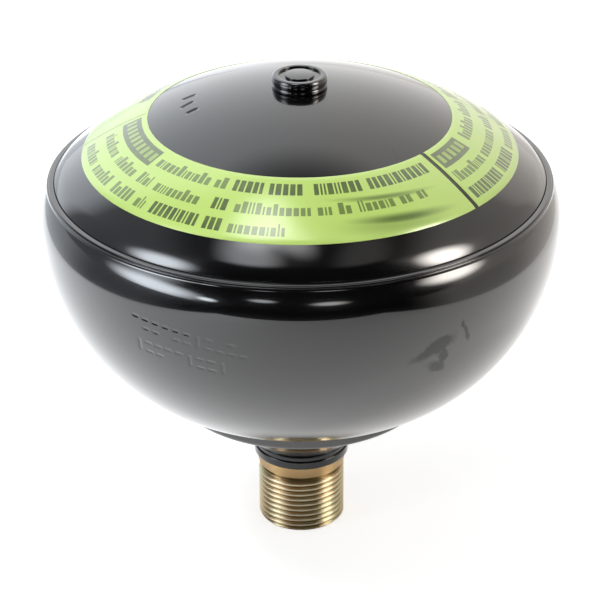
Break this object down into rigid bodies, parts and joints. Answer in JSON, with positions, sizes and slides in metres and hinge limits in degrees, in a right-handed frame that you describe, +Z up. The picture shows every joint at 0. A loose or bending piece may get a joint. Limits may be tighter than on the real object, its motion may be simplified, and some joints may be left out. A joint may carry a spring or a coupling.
{
  "type": "suspension sphere",
  "caption": "Black flattened steel suspension sphere with a gas plug on its dome, a ring label and a threaded neck, holding a diaphragm and a damper valve.",
  "frame": {"origin": "centre of the neck's open end face, which is also the part's lowest face", "axes": "+Z up the neck's axis towards the dome and the gas plug; X and Y across it"},
  "size_m": [0.128, 0.128, 0.1229],
  "materials": {
    "black_paint": "gloss black enamel over pressed steel",
    "neck_plating": "turned steel with yellow-brown zinc plating, black paint on the collar and flare",
    "label_foil": "satin yellow-green foil with plain dark print",
    "bare_steel": "turned steel, lightly oiled",
    "spring_steel": "polished blue-grey spring steel",
    "sintered_steel": "matt grey sintered steel",
    "diaphragm_rubber": "matt black nitrile rubber",
    "button_plastic": "matt natural nylon"
  },
  "bodies": {
    "root": {"clamp_ring": "bare_steel", "compression_shim_large": "spring_steel", "compression_shim_medium": "spring_steel", "compression_shim_small": "spring_steel", "compression_stop_washer": "bare_steel", "damper_body": "sintered_steel", "damper_retaining_ring": "bare_steel", "damper_rivet": "bare_steel", "diaphragm": "diaphragm_rubber", "diaphragm_button": "button_plastic", "gas_plug": "black_paint", "gas_plug_washer": "black_paint", "label": "label_foil", "lower_shell": "black_paint", "neck_fitting": "neck_plating", "rebound_shim_large": "spring_steel", "rebound_shim_medium": "spring_steel", "rebound_shim_small": "spring_steel", "rebound_stop_washer": "bare_steel", "upper_shell": "black_paint"}
  },
  "joints": []
}
